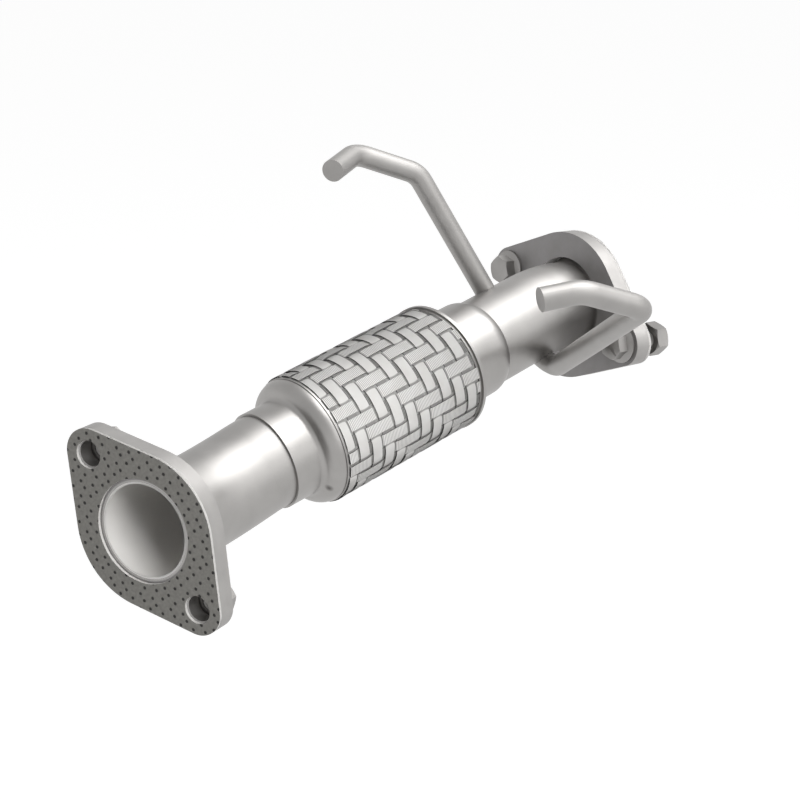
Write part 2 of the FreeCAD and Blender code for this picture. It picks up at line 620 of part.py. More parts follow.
def inlet_end_cap():
    """Pressed cap: neck over the pipe, hollow fillet, rounded shoulder, open rim."""
    body = new_body("inlet_end_cap", FLEX)
    revolve(body, "inlet_cap_sheet", [
        ("zero", "neck_in_r"),
        ("zero", "neck_r"),
        ("shoulder_x", "neck_r", "cap_fillet_radius", 1),
        ("sway_x", "sway_y", "shoulder_r", -1),
        ("cap_length", "rim_r"),
        ("cap_length", "braid_in_r", "shoulder_in_r", 1),
        ("sway_in_x", "sway_in_y", "fillet_out_r", -1),
        ("shoulder_x", "neck_in_r"),
    ])
    return body


def inlet_braid_ring():
    body = new_body("inlet_braid_ring", FLEX)
    revolve(body, "inlet_band", [
        ("ring_x", "braid_in_r"), ("ring_x", "ring_r"),
        ("ring_end", "ring_r"), ("ring_end", "braid_in_r")])
    return body


def outlet_braid_ring():
    body = new_body("outlet_braid_ring", OUTLET)
    revolve(body, "outlet_band", [
        ("out_ring_x", "braid_in_r"), ("out_ring_x", "ring_r"),
        ("out_ring_end", "ring_r"), ("out_ring_end", "braid_in_r")])
    return body


def inlet_support_ring():
    """Ring inside the start of the braid, against the cap's rim."""
    body = new_body("inlet_support_ring", FLEX)
    revolve(body, "inlet_support", [
        ("support_x", "support_in_r"), ("support_x", "support_r"),
        ("support_end", "support_r"), ("support_end", "support_in_r")])
    return body


def outlet_support_ring():
    """Ring inside the end of the braid, against the rim disc."""
    body = new_body("outlet_support_ring", OUTLET)
    revolve(body, "outlet_support", [
        ("out_support_x", "out_support_in_r"), ("out_support_x", "out_support_r"),
        ("out_support_end", "out_support_r"), ("out_support_end", "out_support_in_r")])
    return body


def outlet_end_cap():
    """Turned cap: rim disc, hollow fillet and a long neck with a rounded end."""
    body = new_body("outlet_end_cap", OUTLET)
    revolve(body, "outlet_cap_body", [
        ("disc_x", "neck_in_r"),
        ("disc_x", "disc_r"),
        ("zero", "disc_r"),
        ("zero", "disc_fillet_r", "disc_fillet_radius", 1),
        ("disc_fillet_radius", "out_neck_r"),
        ("neck_round_x", "out_neck_r", "neck_round_r", -1),
        ("out_neck_length", "neck_lip_r"),
        ("out_neck_length", "neck_in_r"),
    ])
    return body


def flex_bellows():
    """Thin corrugated tube with a plain cuff at each end."""
    body = new_body("flex_bellows", FLEX)
    revolve(body, "bellows_tube", [
        ("cuff_x", "cuff_in_r"), ("cuff_x", "cuff_r"),
        ("cuff_end", "cuff_r"), ("cuff_end", "cuff_in_r")])
    ridge = revolve(body, "bellows_ridge", [
        ("wave_x", "cuff_in_r"), ("wave_x", "cuff_r"), ("wave_top", "crest_r"),
        ("wave_top_end", "crest_r"), ("wave_end", "cuff_r"), ("wave_end", "cuff_in_r")])
    hollow = groove(body, "bellows_hollow", [
        ("hollow_x", "cuff_in_r"), ("hollow_top", "crest_in_r"),
        ("hollow_top_end", "crest_in_r"), ("hollow_end", "cuff_in_r")])
    pattern = body.newObject("PartDesign::LinearPattern", "bellows_waves")
    pattern.Originals = [ridge, hollow]
    axis = [item for item in body.Origin.OriginFeatures if item.Role == "X_Axis"][0]
    pattern.Direction = (axis, [""])
    pattern.setExpression("Length", cell("bellows_span"))
    pattern.setExpression("Occurrences", cell("bellows_count"))
    body.Tip = pattern
    return body


def flex_liner():
    """Smooth gas liner inside the bellows, entering both pipe ends."""
    body = new_body("flex_liner", FLEX)
    revolve(body, "liner_tube", [
        ("liner_x", "liner_in_r"), ("liner_x", "liner_r"),
        ("liner_end", "liner_r"), ("liner_end", "liner_in_r")])
    return body


def ridge(name, role, corners):
    """Raised part of one band: an outline on an upright plane through the axis or across it."""
    body = new_body(name, FLEX)
    sketch = new_sketch(body, name + "_profile", role)
    outline(sketch, corners)
    pad = body.newObject("PartDesign::Pad", name + "_band")
    pad.Profile = sketch
    pad.setExpression("Length", cell("band_width"))
    pad.Midplane = True
    return body


def spread(name, pattern, rows_on, hoops_on):
    """Copies of a ridge at every place of the weave, turned row by row and moved hoop by hoop."""
    axis = FreeCAD.Vector(1, 0, 0)
    copies = []
    for hoop in range(int(size("weave_hoops"))):
        for turn in range(int(size("repeats_around"))):
            angle = size("weave_roll") + size("row_angle") * (hoop + rows_on + turn * size("weave_repeat"))
            shift = FreeCAD.Vector(size("weave_start") + size("weave_pitch") * (hoop + hoops_on), 0, 0)
            step = FreeCAD.Placement(shift, FreeCAD.Rotation(axis, angle))
            copies.append(pattern.Tip.Shape.transformed(step.toMatrix()))
    ridges = doc.addObject("Part::Feature", name)
    ridges.Shape = Part.makeCompound(copies)
    ridges.setExpression("Placement", frame(*FLEX))
    return ridges


def trim(name, place, shift, height):
    """Round cutter along the axis of a frame, from a shifted start."""
    cutter = doc.addObject("Part::Cylinder", name)
    cutter.setExpression("Radius", cell("braid_od"))
    cutter.setExpression("Height", cell(height))
    turn = " * create(<<placement>>; create(<<vector>>; 0; 0; 0); create(<<rotation>>; 0; 90; 0))"
    cutter.setExpression("Placement", frame(*place, (shift, "zero", "zero")) + turn)
    return cutter


def flex_braid():
    """Woven sleeve round the bellows: every band runs over two others and under two.

    Each band shows as raised stretches on one wall, lengthwise strips and hoops in turn,
    and the pattern moves on by one row from each hoop to the next. Both ends are cut
    square, the outlet end to the outlet cap, which stands at its own slight angle.
    """
    tube = new_body("braid_tube", FLEX)
    revolve(tube, "braid_sleeve", [
        ("braid_x", "braid_in_r"), ("braid_x", "weave_floor_r"),
        ("braid_end", "weave_floor_r"), ("braid_end", "braid_in_r")])
    strip = ridge("strip", "XZ_Plane", [
        ("-weave_pitch", "weave_root_r"), ("-weave_pitch", "weave_floor_r"),
        ("-strip_top_half", "strip_top"), ("strip_top_half", "strip_top"),
        ("weave_pitch", "weave_floor_r"), ("weave_pitch", "weave_root_r")])
    hoop = ridge("hoop", "YZ_Plane", [
        ("-hoop_root_x", "hoop_root_y"), ("-hoop_floor_x", "hoop_floor_y"),
        ("-hoop_top_x", "hoop_top_y", "braid_r", -1), ("hoop_top_x", "hoop_top_y"),
        ("hoop_floor_x", "hoop_floor_y"), ("hoop_root_x", "hoop_root_y", "weave_root_r", 1)])
    doc.recompute()
    sleeve = fuse("braid_bands", [tube, spread("strips", strip, 0, 0.5), spread("hoops", hoop, 1.5, 0)])
    ends = fuse("braid_ends", [trim("inlet_trim", FLEX, "inlet_trim_x", "inlet_trim_length"),
                               trim("outlet_trim", OUTLET, "trim_x", "weave_length")])
    return cut("flex_braid", sleeve, ends)


def hanger_rod(rod, bends):
    """Round rod whose foot is shaped to the pipe that it is welded to."""
    name = rod + "_hanger_rod"
    points = []
    for number in range(1, len(ROD_CORNERS[rod]) + 1):
        points.append(vector(*["%s_%d_%s" % (rod, number, way) for way in ("along", "left", "high")]))
    bar = sweep_along(name, points, [size(bend) for bend in bends], "rod_r")
    pipe = doc.addObject("Part::Cylinder", name + "_stop")
    pipe.setExpression("Radius", cell("rod_stop_r"))
    pipe.setExpression("Height", "sizes.pipe_tail + sizes.outlet_run")
    pipe.setExpression("Placement", "create(<<placement>>; create(<<vector>>; sizes.rod_stop_x; 0; 0);"
                                    " create(<<rotation>>; 0; 90; 0))")
    shaped = cut(name, bar, pipe)
    shaped.setExpression("Placement", frame(*OUTLET))
    return shaped


def hexagon(flat, corner, half_corner):
    """Corners of a hexagon with two flats across the sketch's Y direction."""
    return [(corner, "zero"), (half_corner, flat), ("-" + half_corner, flat),
            ("-" + corner, "zero"), ("-" + half_corner, "-" + flat), (half_corner, "-" + flat)]


def nut(name, place):
    """Plain hexagon nut, seat at the local origin."""
    body = new_body(name, place)
    sketch = new_sketch(body, name + "_hexagon", "YZ_Plane")
    outline(sketch, hexagon("nut_flat", "nut_corner", "nut_corner_half"))
    circle_at(sketch, "zero", "zero", "nut_bore_r")
    pad = body.newObject("PartDesign::Pad", name + "_block")
    pad.Profile = sketch
    pad.setExpression("Length", cell("nut_height"))
    groove(body, name + "_outer_chamfer", [
        ("nut_height", "nut_flat"), ("nut_height", "nut_reach_r"), ("nut_bevel_x", "nut_reach_r")])
    groove(body, name + "_seat_chamfer", [
        ("zero", "nut_flat"), ("nut_bevel", "nut_reach_r"), ("zero", "nut_reach_r")])
    return body


def bolt(name, place):
    """Hexagon bolt with a flange under its head, seat at the local origin, tip along +X."""
    body = new_body(name, place)
    revolve(body, name + "_shank", [
        ("-head_cone_x", "zero"), ("-head_cone_x", "head_flat"), ("-head_disc_edge", "head_disc_r"),
        ("zero", "head_disc_r"), ("zero", "thread_r"), ("thread_tip_x", "thread_r"),
        ("bolt_length", "thread_tip_r"), ("bolt_length", "zero")])
    sketch = new_sketch(body, name + "_hexagon", "YZ_Plane")
    outline(sketch, hexagon("head_flat", "head_corner", "head_corner_half"))
    pad = body.newObject("PartDesign::Pad", name + "_hexagon_head")
    pad.Profile = sketch
    pad.setExpression("Length", cell("head_height"))
    pad.Reversed = True
    groove(body, name + "_chamfer", [
        ("-head_height", "head_flat"), ("-head_height", "head_bevel_r"), ("-head_bevel_x", "head_bevel_r")])
    return body


def group(name, items):
    compound = doc.addObject("Part::Compound", name)
    compound.Links = items
    compound.Label = name
    return compound


def side_place(place, shift_x, half):
    return place + ((shift_x, half, "zero"),)


NODES = [
    inlet_flange(),
    inlet_pipe(),
    inlet_end_cap(),
    inlet_braid_ring(),
    inlet_support_ring(),
    flex_bellows(),
    flex_liner(),
    flex_braid(),
    outlet_support_ring(),
    outlet_braid_ring(),
    outlet_end_cap(),
    outlet_pipe(),
    outlet_flange(),
    hanger_rod("upper", ["upper_rod_bend", "upper_rod_bend"]),
    hanger_rod("lower", ["lower_rod_bend", "lower_rod_bend", "lower_rod_tip_bend"]),
    inlet_gasket(),
    outlet_gasket(),
    group("outlet_bolts", [bolt("bolt_1", side_place(END, "bolt_seat", "outlet_half")),
                           bolt("bolt_2", side_place(END, "bolt_seat", "-outlet_half"))]),
    group("outlet_nuts", [nut("outlet_nut_1", side_place(END, "outlet_nut_x", "outlet_half")),
                          nut("outlet_nut_2", side_place(END, "outlet_nut_x", "-outlet_half"))]),
    group("inlet_nuts", [nut("inlet_nut_1", side_place(INLET, "inlet_nut_x", "inlet_half")),
                         nut("inlet_nut_2", side_place(INLET, "inlet_nut_x", "-inlet_half"))]),
]

doc.recompute()
for item in doc.Objects:
    if "Invalid" in item.State or "Error" in item.State:
        raise RuntimeError("%s did not recompute" % item.Label)
for node in NODES:
    if node.Shape.isNull() or not node.Shape.isValid():
        raise RuntimeError("%s has no valid shape" % node.Label)

os.makedirs("parts", exist_ok=True)
for node in NODES:
    node.Shape.exportStep("parts/%s.step" % node.Label)
    print("%-20s %2d solids %10.1f mm3" % (node.Label, len(node.Shape.Solids), node.Shape.Volume))
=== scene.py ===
import math

import bpy
from mathutils import Matrix, Vector


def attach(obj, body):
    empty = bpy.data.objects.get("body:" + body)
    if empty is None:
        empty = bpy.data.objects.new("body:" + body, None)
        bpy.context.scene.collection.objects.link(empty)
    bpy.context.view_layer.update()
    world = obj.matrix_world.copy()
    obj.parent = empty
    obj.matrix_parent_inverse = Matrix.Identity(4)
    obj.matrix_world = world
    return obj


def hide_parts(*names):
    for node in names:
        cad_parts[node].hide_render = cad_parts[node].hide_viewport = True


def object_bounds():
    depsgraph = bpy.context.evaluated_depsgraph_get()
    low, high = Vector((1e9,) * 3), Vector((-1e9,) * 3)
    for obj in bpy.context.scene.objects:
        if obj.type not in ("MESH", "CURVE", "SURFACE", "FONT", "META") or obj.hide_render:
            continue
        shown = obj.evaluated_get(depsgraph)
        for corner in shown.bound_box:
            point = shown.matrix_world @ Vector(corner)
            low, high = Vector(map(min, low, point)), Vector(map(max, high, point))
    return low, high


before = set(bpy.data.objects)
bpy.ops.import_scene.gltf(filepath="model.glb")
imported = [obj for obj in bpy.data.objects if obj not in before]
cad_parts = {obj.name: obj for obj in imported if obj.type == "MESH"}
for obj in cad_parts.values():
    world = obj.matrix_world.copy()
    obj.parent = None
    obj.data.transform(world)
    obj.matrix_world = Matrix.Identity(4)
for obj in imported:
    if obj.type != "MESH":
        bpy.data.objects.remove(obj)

# Exhaust front pipe: satin stainless tubes, woven flex sleeve, plate flanges, faced gaskets.
# Metres, in the same frame as the solids. Lengths written in millimetres are times MM.

MM = 0.001
ALONG = Vector((1.0, 0.0, 0.0))
cad_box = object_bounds()
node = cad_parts


# Sections of the pipe

def section(start_mm, azimuth, rise, roll=0.0):
    """Turn and shift of a section of the pipe whose axis is local X."""
    turn = (Matrix.Rotation(math.radians(azimuth), 4, "Z")
            @ Matrix.Rotation(math.radians(-rise), 4, "Y")
            @ Matrix.Rotation(math.radians(roll), 4, "X"))
    return Matrix.Translation(Vector(start_mm) * MM) @ turn


def axis_of(frame_of_piece):
    return frame_of_piece.to_3x3() @ ALONG


# The inlet flange, the flex section from its inlet neck on, its outlet end, and the outlet flange.
INLET = section((0.0, 0.0, 0.0), 0.0, 0.0, 48.0)
FLEX = section((86.863, -11.513, 10.996), -19.08, 12.76)
OUTLET = section((200.696, -50.887, 38.273), -16.02, 11.44)
END = section((310.239, -85.484, 55.584), -23.13, -2.4, 15.05)


# Sizes of the inlet pipe and the flanges

# The reach of the pale bore from the pipe's centreline, the pipe's first bend, the reach of a flange's
# own bore, and the distance of a bolt hole from a flange's middle.
PIPE_WALL_IN = 24.4 * MM
BEND_START = 27.2 * MM
BEND_RADIUS = 113.0 * MM
BEND_END = 57.0 * MM
PLATE_BORE = 29.0 * MM
HOLE_INLET = 45.5 * MM
HOLE_OUTLET = 50.9 * MM


# Sizes of the woven sleeve

BRAID_RADIUS = 36.0 * MM
BAND_WIDTH = 6.2 * MM
BAND_THICK = 0.5 * MM
BAND_DIP = 0.95 * MM
BAND_CROWN = 0.1 * MM
HOOP_PITCH = 8.62 * MM
FIRST_HOOP = 28.9 * MM
HOOP_COUNT = 11
ROW_COUNT = 28
ROW_ANGLE = 2 * math.pi / ROW_COUNT
WEAVE_ROLL = math.radians(55.2)
SLEEVE_START = 27.2 * MM
SLEEVE_END = -3.6 * MM
CORE_RADIUS = 34.4 * MM
CORE_REACH = 120.0 * MM
CORE_THICK = 0.5 * MM

# A band goes over two crossings and under the next two, and repeats. The middle of its float lies this
# many crossings from the band's own place.
REPEAT = 4
LENGTHWISE_MIDDLE = 0.5
HOOP_MIDDLE = 1.5

# Points of a band: steps from one crossing to the next, strips side by side, and the share of the
# width beyond which only the outermost points lie. A lengthwise band starts that many crossings early.
STEPS = 4
STRIPS = 4
OUTER_SHARE = 0.45
BAND_LEAD = 2.5


# Sizes of the threads

# Places along the shank and the nuts are from the middle of their flange's outer face.
THREAD_PITCH = 1.25 * MM
THREAD_CREST = 4.98 * MM
THREAD_ROOT = 4.2 * MM
THREAD_STEPS = 32
SPARE_TURNS = 2
SHANK_START = -9.52 * MM
SHANK_LENGTH = 30.0 * MM
HEAD_MARGIN = 0.5 * MM
TIP_LENGTH = 0.5 * MM
TIP_SHARE = 0.86
NUT_START = 9.52 * MM
NUT_HEIGHT = 8.4 * MM
LINING_THICK = 0.05 * MM
MERGE_DISTANCE = 0.001 * MM


# Camera

# The photograph's viewing angle: the camera's place, and its right and up as directions.
CAMERA_AT = Vector((-0.6217, -0.48645, 0.30187))
CAMERA_RIGHT = Vector((0.48733932, -0.87321268, 0.0))
CAMERA_UP = Vector((0.25360823, 0.14153856, 0.95689587))
LENS_MM = 78.75
SENSOR_MM = 36.0
NEAREST = 0.01
FARTHEST = 60.0


def place_camera():
    data = bpy.data.cameras.new("camera")
    data.lens = LENS_MM
    data.sensor_width = SENSOR_MM
    data.clip_start = NEAREST
    data.clip_end = FARTHEST
    camera = bpy.data.objects.new("camera", data)
    bpy.context.scene.collection.objects.link(camera)
    back = CAMERA_RIGHT.cross(CAMERA_UP)
    axes = Matrix((CAMERA_RIGHT, CAMERA_UP, back)).transposed().to_4x4()
    camera.matrix_world = Matrix.Translation(CAMERA_AT) @ axes
    bpy.context.scene.camera = camera


# Nodes of a material

# Inputs of a Mix node by number, because its numbers and its colours go by the same names.
FACTOR, NUMBER_A, NUMBER_B, COLOUR_A, COLOUR_B = 0, 2, 3, 6, 7


def linear(hex_colour):
    """An sRGB hex colour as linear red, green, blue and alpha."""
    channels = [int(hex_colour[i:i + 2], 16) / 255 for i in (1, 3, 5)]
    return [c / 12.92 if c <= 0.04045 else ((c + 0.055) / 1.055) ** 2.4 for c in channels] + [1.0]


def add(tree, kind, settings=None, links=None, stops=()):
    """One node. Settings are properties or plain inputs, with colours in hex. Links give an input and the
    node or socket that it reads. Stops are the places and colours of a ramp."""
    made = tree.nodes.new("ShaderNode" + kind)
    for key, value in (settings or {}).items():
        if isinstance(key, str) and hasattr(made, key):
            setattr(made, key, value)
        else:
            made.inputs[key].default_value = linear(value) if isinstance(value, str) else value
    for key, source in (links or {}).items():
        if isinstance(source, bpy.types.Node):
            source = next(socket for socket in source.outputs if socket.enabled)
        tree.links.new(source, made.inputs[key])
    if stops:
        elements = made.color_ramp.elements
        while len(elements) < len(stops):
            elements.new(1.0)
        for element, (position, colour) in zip(elements, stops):
            element.position = position
            element.color = linear(colour)
    return made


def new_material(name):
    material = bpy.data.materials.new(name)
    material.use_nodes = True
    material.node_tree.nodes.clear()
    return material, material.node_tree


NOISE_SPAN = (0.3, 0.7)


def drift(colours):
    """Ramp stops from a darker to a lighter colour, over the middle values that cloudy noise mostly has."""
    return list(zip(NOISE_SPAN, colours))


def in_frame(tree, frame_of_piece):
    """Object coordinates turned into the piece's own frame, in metres."""
    back = frame_of_piece.inverted()
    where = add(tree, "TexCoord").outputs["Object"]
    return add(tree, "Mapping", {
        "Location": back.to_translation(), "Rotation": back.to_euler("XYZ")}, {"Vector": where})


def square_to_axis(tree, local):
    """What is left of a place in a piece's frame once its share along the axis is taken out."""
    return add(tree, "VectorMath", {"operation": "MULTIPLY", 1: (0.0, 1.0, 1.0)}, {0: local})


FACE_LEAN = 0.9


def facing_share(tree, frame_of_plate):
    """1 on the flat faces of a plate and 0 on its edges and in its holes."""
    outward = add(tree, "TexCoord").outputs["Normal"]
    lean = add(tree, "VectorMath", {"operation": "DOT_PRODUCT", 1: axis_of(frame_of_plate)}, {0: outward})
    flat = add(tree, "Math", {"operation": "ABSOLUTE"}, {0: lean})
    return add(tree, "Math", {"operation": "GREATER_THAN", 1: FACE_LEAN}, {0: flat})


# Materials: satin steels

TUBE_COLOURS = ("#A19F9D", "#AAA8A6")
ROD_COLOURS = ("#A09E9C", "#AAA8A6")
FASTENER_COLOURS = ("#92908E", "#A2A09E")
TUBE_ROUGHNESS = (0.41, 0.48)
SHEET_ROUGHNESS = (0.38, 0.44)
ROD_ROUGHNESS = (0.48, 0.54)
FASTENER_ROUGHNESS = (0.38, 0.46)

# Width of the cloudy patches, and of the brushed grain, drawn coarser than it is so that it shows.
TUBE_CLOUD = 16.0 * MM
TUBE_GRAIN = 0.7 * MM

# The bore is painted pale and hardly metallic: painted light, which brightens the inside of the pipe where
# it lies in shade.
BORE_PAINTED_LIGHT = "#F0EEEB"
BORE_METALLIC = 0.15

# Painted shade of a small dimple near the inlet cap's rim: its colour, its place, and the distances where it
# is full and where it has faded out.
DIMPLE_SHADE_COLOUR = "#676563"
DIMPLE_AT = Vector((99.6, -42.2, -2.3)) * MM
DIMPLE_CORE = 0.5 * MM
DIMPLE_EDGE = 2.8 * MM


def satin_steel(name, colours, roughness, change=None):
    """Drawn or pressed steel, lightly brushed: soft broad gloss, faint mottling. A change may alter the
    links of its shader."""
    material, tree = new_material(name)
    where = add(tree, "TexCoord").outputs["Object"]
    cloud = add(tree, "TexNoise", {"Scale": 1.0 / TUBE_CLOUD, "Detail": 3.0}, {"Vector": where})
    grain = add(tree, "TexNoise", {"Scale": 1.0 / TUBE_GRAIN, "Detail": 2.0}, {"Vector": where})
    tint = add(tree, "ValToRGB", links={"Fac": cloud}, stops=drift(colours))
    gloss = add(tree, "MapRange", {"To Min": roughness[0], "To Max": roughness[1]}, {"Value": cloud})
    bump = add(tree, "Bump", {"Strength": 0.05, "Distance": 0.2 * MM}, {"Height": grain})
    links = {"Base Color": tint, "Roughness": gloss, "Normal": bump}
    if change:
        links.update(change(tree, tint))
    shader = add(tree, "BsdfPrincipled", {"Metallic": 1.0}, links)
    add(tree, "OutputMaterial", links={"Surface": shader})
    return material


def distance_from_centreline(tree, where):
    """Distance from the inlet pipe's centreline, along its straight start and then its bend.

    In the bend it is measured from a circle: off the bend's plane, and off its radius in that plane."""
    onward = axis_of(FLEX)
    inward = Vector((0.0, onward.y, onward.z)).normalized()
    off_plane = ALONG.cross(inward)
    centre = BEND_START * ALONG + BEND_RADIUS * inward
    from_centre = add(tree, "VectorMath", {"operation": "SUBTRACT", 1: centre}, {0: where})
    side = add(tree, "VectorMath", {"operation": "DOT_PRODUCT", 1: off_plane}, {0: from_centre})
    reach = add(tree, "VectorMath", {"operation": "LENGTH"}, {0: from_centre})
    side_squared, reach_squared = [
        add(tree, "Math", {"operation": "POWER", 1: 2.0}, {0: length}) for length in (side, reach)]
    flat_squared = add(tree, "Math", {"operation": "SUBTRACT"}, {0: reach_squared, 1: side_squared})
    flat = add(tree, "Math", {"operation": "SQRT"}, {0: flat_squared})
    off_line = add(tree, "Math", {"operation": "SUBTRACT", 1: BEND_RADIUS}, {0: flat})
    off_squared = add(tree, "Math", {"operation": "POWER", 1: 2.0}, {0: off_line})
    bent_squared = add(tree, "Math", {"operation": "ADD"}, {0: off_squared, 1: side_squared})
    bent = add(tree, "Math", {"operation": "SQRT"}, {0: bent_squared})
    straight = add(tree, "VectorMath", {"operation": "LENGTH"}, {0: square_to_axis(tree, where)})
    ahead = add(tree, "SeparateXYZ", links={0: where}).outputs["X"]
    past = add(tree, "Math", {"operation": "GREATER_THAN", 1: BEND_START}, {0: ahead})
    return add(tree, "Mix", {"data_type": "FLOAT"}, {FACTOR: past, NUMBER_A: straight, NUMBER_B: bent})


def painted_light_bore(tree, outer):
    """The inside of the inlet pipe, painted paler and duller than its outside: painted light in the shaded
    bore.
    """
    where = add(tree, "TexCoord").outputs["Object"]
    away = distance_from_centreline(tree, where)
    narrow = add(tree, "Math", {"operation": "LESS_THAN", 1: PIPE_WALL_IN}, {0: away})
    ahead = add(tree, "SeparateXYZ", links={0: where}).outputs["X"]
    near = add(tree, "Math", {"operation": "LESS_THAN", 1: BEND_END}, {0: ahead})
    inner = add(tree, "Math", {"operation": "MULTIPLY"}, {0: narrow, 1: near})
    tint = add(tree, "Mix", {"data_type": "RGBA", COLOUR_B: BORE_PAINTED_LIGHT}, {FACTOR: inner, COLOUR_A: outer})
    metal = add(tree, "MapRange", {"To Min": 1.0, "To Max": BORE_METALLIC}, {"Value": inner})
    return {"Base Color": tint, "Metallic": metal}


def dimple_shade(tree, clean):
    """Painted shade of a small dimple: the one small dark spot near the inlet cap's rim."""
    where = add(tree, "TexCoord").outputs["Object"]
    away = add(tree, "VectorMath", {"operation": "DISTANCE", 1: DIMPLE_AT}, {0: where})
    mark = add(tree, "MapRange", {
        "From Min": DIMPLE_CORE, "From Max": DIMPLE_EDGE, "To Min": 1.0, "To Max": 0.0}, {"Value": away})
    return {"Base Color": add(tree, "Mix", {"data_type": "RGBA", COLOUR_B: DIMPLE_SHADE_COLOUR}, {
        FACTOR: mark, COLOUR_A: clean})}


# Materials: flanges and gaskets

# The faces' darker grey and the edges' lighter grey are painted shade and painted light, split by which way
# a face looks.
FACE_SHADE_COLOURS = ("#8A8887", "#929090")
EDGE_LIGHT_COLOURS = ("#A4A2A0", "#AEACAA")
# Painted light: the pale wall of the bore, which lies in shade.
BORE_WALL_PAINTED_LIGHT = "#F2F1F0"

# The blasted faces mirror a little less than bare steel does. The wall of the bore hardly mirrors: with its
# pale colour, that is painted light in the shaded bore.
PLATE_METALLIC = 0.85
BORE_WALL_METALLIC = 0.2

# Width of the cloudy patches, and of the blasted grit, drawn coarser than it is so that it shows.
PLATE_CLOUD = 11.0 * MM
PLATE_GRIT = 0.5 * MM

FIBRE_COLOURS = ("#8F8D88", "#A6A49F")
CORE_COLOURS = ("#D6D4D1", "#E4E2DF")
# Painted shade: the near-black of the small pits where the tangs pierce the facing.
TANG_PIT_SHADE = "#141210"

# Width of the fibre's speckles, drawn coarser than they are so that they show.
FIBRE_GRAIN = 1.6 * MM

# The tangs' pattern repeats by this cell across the gasket, and holds these places in millimetres.
TANG_CELL = (15.17, 10.19)
TANG_SPOTS = [(-1.1, 0.5), (2.7, 1.15), (9.0, 0.85), (4.4, -4.1), (8.2, -3.5), (-0.6, -3.95)]
TANG_RADIUS = 0.85 * MM
TANG_BLUR = 0.25


def plate_steel(frame_of_plate):
    """Blasted plate with fine grit. Its faces are painted a darker grey as painted shade, its cut edges a
    lighter grey as painted light, and the wall of its bore pale as painted light.
    """
    material, tree = new_material("blasted_steel_plate")
    where = add(tree, "TexCoord").outputs["Object"]
    cloud = add(tree, "TexNoise", {"Scale": 1.0 / PLATE_CLOUD, "Detail": 4.0}, {"Vector": where})
    grit = add(tree, "TexNoise", {"Scale": 1.0 / PLATE_GRIT, "Detail": 2.0}, {"Vector": where})
    faces = add(tree, "ValToRGB", links={"Fac": cloud}, stops=drift(FACE_SHADE_COLOURS))
    edges = add(tree, "ValToRGB", links={"Fac": cloud}, stops=drift(EDGE_LIGHT_COLOURS))
    spoke = square_to_axis(tree, in_frame(tree, frame_of_plate))
    away = add(tree, "VectorMath", {"operation": "LENGTH"}, {0: spoke})
    near = add(tree, "Math", {"operation": "LESS_THAN", 1: PLATE_BORE}, {0: away})
    flat = facing_share(tree, frame_of_plate)
    wall = add(tree, "Math", {"operation": "SUBTRACT", "use_clamp": True}, {0: near, 1: flat})
    cut = add(tree, "Mix", {"data_type": "RGBA", COLOUR_B: BORE_WALL_PAINTED_LIGHT}, {
        FACTOR: wall, COLOUR_A: edges})
    tint = add(tree, "Mix", {"data_type": "RGBA"}, {FACTOR: flat, COLOUR_A: cut, COLOUR_B: faces})
    metal = add(tree, "MapRange", {"To Min": PLATE_METALLIC, "To Max": BORE_WALL_METALLIC}, {"Value": wall})
    bump = add(tree, "Bump", {"Strength": 0.12, "Distance": 0.1 * MM}, {"Height": grit})
    shader = add(tree, "BsdfPrincipled", {"Roughness": 0.5}, {
        "Base Color": tint, "Metallic": metal, "Normal": bump})
    add(tree, "OutputMaterial", links={"Surface": shader})
    return material


def distance_from_tangs(tree, local):
    """Distance from the nearest tang, across the gasket's face.

    A place is wrapped into one cell round each tang, so that the tang stands for its whole grid."""
    flat = square_to_axis(tree, local)
    half = Vector((1.0, *TANG_CELL)) * MM / 2
    nearest = None
    for spot in TANG_SPOTS:
        middle = Vector((0.0, *spot)) * MM
        wrapped = add(tree, "VectorMath", {
            "operation": "WRAP", 1: middle + half, 2: middle - half}, {0: flat})
        away = add(tree, "VectorMath", {"operation": "DISTANCE", 1: middle}, {0: wrapped})
        nearest = add(tree, "Math", {"operation": "MINIMUM"}, {0: nearest, 1: away}) if nearest else away
    return nearest


def gasket_facing(name, frame_of_gasket):
    """Fibre facing on a steel core: dull grey-brown, pressed through by rows of small tangs, with their pits
    painted near-black as painted shade.
    """
    material, tree = new_material(name)
    local = in_frame(tree, frame_of_gasket)
    tang = add(tree, "MapRange", {
        "From Min": TANG_RADIUS * (1.0 + TANG_BLUR), "From Max": TANG_RADIUS * (1.0 - TANG_BLUR)}, {
        "Value": distance_from_tangs(tree, local)})
    speckle = add(tree, "TexNoise", {"Scale": 1.0 / FIBRE_GRAIN, "Detail": 4.0}, {"Vector": local})
    fibre = add(tree, "ValToRGB", links={"Fac": speckle}, stops=drift(FIBRE_COLOURS))
    core = add(tree, "ValToRGB", links={"Fac": speckle}, stops=drift(CORE_COLOURS))
    pressed = add(tree, "Mix", {"data_type": "RGBA", COLOUR_B: TANG_PIT_SHADE}, {FACTOR: tang, COLOUR_A: fibre})
    flat = facing_share(tree, frame_of_gasket)
    tint = add(tree, "Mix", {"data_type": "RGBA"}, {FACTOR: flat, COLOUR_A: core, COLOUR_B: pressed})
    low = add(tree, "Math", {"operation": "MULTIPLY", 1: -1.0}, {0: tang})
    bump = add(tree, "Bump", {"Strength": 0.6, "Distance": 0.3 * MM}, {"Height": low})
    shader = add(tree, "BsdfPrincipled", {"Roughness": 0.62}, {"Base Color": tint, "Normal": bump})
    add(tree, "OutputMaterial", links={"Surface": shader})
    return material


# Materials: woven sleeve

CREST_RIBBED = "#F6F5F3"
CREST_PLAIN = "#E9E8E6"
